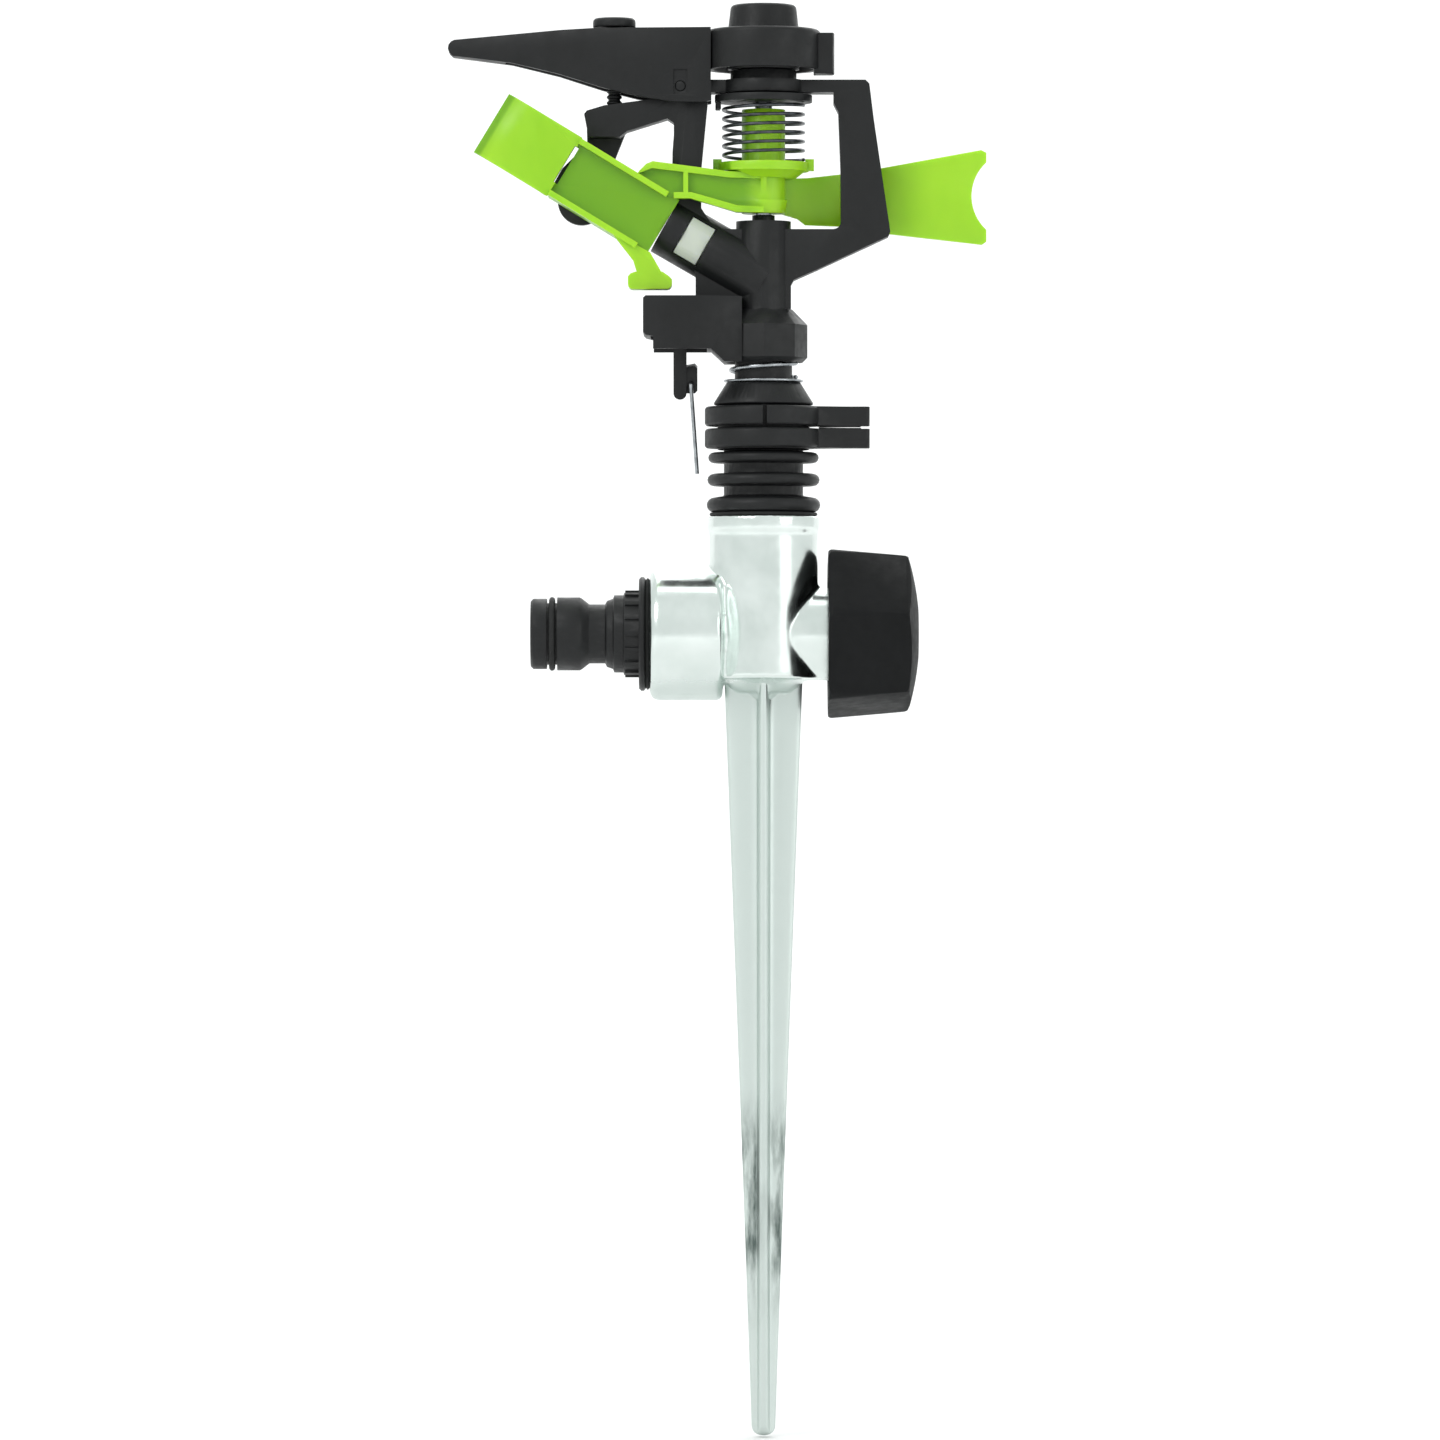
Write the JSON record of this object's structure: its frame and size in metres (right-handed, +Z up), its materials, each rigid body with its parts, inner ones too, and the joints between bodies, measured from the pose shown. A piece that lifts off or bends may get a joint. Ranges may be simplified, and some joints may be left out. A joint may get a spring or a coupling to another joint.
{
  "type": "impact sprinkler",
  "caption": "Impact garden sprinkler on a metal ground spike, with a side hose nipple, a flow knob, part-circle stop rings and a jet deflector.",
  "frame": {"origin": "on the swivel axis where the spike leaves the valve body, which is the ground line", "axes": "+Z up along the swivel axis, -X along the hose nipple, the arm's channel in front at -Y"},
  "size_m": [0.1239, 0.039, 0.3289],
  "materials": {
    "chrome_zinc": "chrome plate over a zinc die casting",
    "black_plastic": "satin moulded",
    "knob_plastic": "satin moulded",
    "green_plastic": "semi-gloss moulded",
    "pale_plastic": "matt moulded",
    "seal_rubber": "matt",
    "steel_parts": "drawn",
    "spring_steel": "oil-dark drawn wire",
    "plug_brass": "turned"
  },
  "bodies": {
    "base": {"spike_body": "chrome_zinc", "hose_nipple": "black_plastic", "nipple_o_ring": "seal_rubber", "nipple_gasket": "seal_rubber", "stem_o_ring": "seal_rubber", "valve_bonnet": "black_plastic", "bearing_nut": "black_plastic", "bearing_gasket": "seal_rubber", "wear_washers": "pale_plastic", "seal_washer": "seal_rubber", "spring_washer": "steel_parts"},
    "valve": {"valve_plug": "plug_brass", "flow_knob": "knob_plastic", "knob_screw": "steel_parts"},
    "ring_lower": {"stop_ring_lower": "black_plastic"},
    "ring_upper": {"stop_ring_upper": "black_plastic"},
    "head": {"swivel_tube": "black_plastic", "head_body": "black_plastic", "nozzle_insert": "pale_plastic", "stream_straightener": "pale_plastic", "arm_pin": "steel_parts", "deflector_pin": "black_plastic", "trip_pin": "steel_parts", "reverse_pin": "steel_parts", "trip_spring": "spring_steel", "bearing_spring": "steel_parts"},
    "arm": {"impact_arm": "green_plastic"},
    "cap": {"tension_cap": "black_plastic", "spring_anchor": "black_plastic", "arm_spring": "spring_steel"},
    "flap": {"deflector_flap": "black_plastic"},
    "screw": {"deflector_screw": "black_plastic"},
    "trip": {"trip_lever": "black_plastic"},
    "wire": {"trip_wire": "steel_parts"},
    "reverse": {"reverse_lever": "black_plastic"}
  },
  "joints": [
    {"name": "valve_turn", "type": "hinge", "parent": "base", "child": "valve", "pos_m": [0, 0, 0.0113], "axis": [1, 0, 0], "range_deg": [0, 90]},
    {"name": "ring_lower_turn", "type": "hinge", "parent": "base", "child": "ring_lower", "pos_m": [0, 0, 0.0562], "axis": [0, 0, 1], "range_deg": [-60, 60]},
    {"name": "ring_upper_turn", "type": "hinge", "parent": "base", "child": "ring_upper", "pos_m": [0, 0, 0.0613], "axis": [0, 0, 1], "range_deg": [-60, 60]},
    {"name": "head_spin", "type": "hinge", "parent": "base", "child": "head", "pos_m": [0, 0, 0.0736], "axis": [0, 0, 1], "range_deg": [-130, 130]},
    {"name": "arm_swing", "type": "hinge", "parent": "head", "child": "arm", "pos_m": [0, 0, 0.112], "axis": [0, 0, 1], "range_deg": [0, 110], "stiffness_Nm_per_rad": 0.01, "springref_deg": -34.38},
    {"name": "cap_turn", "type": "hinge", "parent": "head", "child": "cap", "pos_m": [0, 0, 0.145], "axis": [0, 0, 1], "range_deg": [-90, 90]},
    {"name": "screw_travel", "type": "slide", "parent": "head", "child": "screw", "axis": [0, 0, -1], "range_m": [0, 0.0013]},
    {"name": "flap_tilt", "type": "hinge", "parent": "head", "child": "flap", "pos_m": [-0.0191, 0, 0.1369], "axis": [0, -1, 0], "range_deg": [0, 8.2]},
    {"name": "trip_flip", "type": "hinge", "parent": "head", "child": "trip", "pos_m": [-0.0192, 0, 0.082], "axis": [-1, 0, 0], "range_deg": [0, 24]},
    {"name": "reverse_lift", "type": "hinge", "parent": "head", "child": "reverse", "pos_m": [-0.0232, 0.0055, 0.0845], "axis": [-1, 0, 0], "range_deg": [0, 12.1]},
    {"name": "wire_fold", "type": "hinge", "parent": "trip", "child": "wire", "pos_m": [-0.0167, 0.00272, 0.06919], "axis": [0, 0.9781, 0.2079], "range_deg": [0, 105]}
  ],
  "couplings": [
    {"joint": "flap_tilt", "follows": "screw_travel", "rad_per_m": 109},
    {"joint": "reverse_lift", "follows": "trip_flip", "ratio": 0.5}
  ]
}
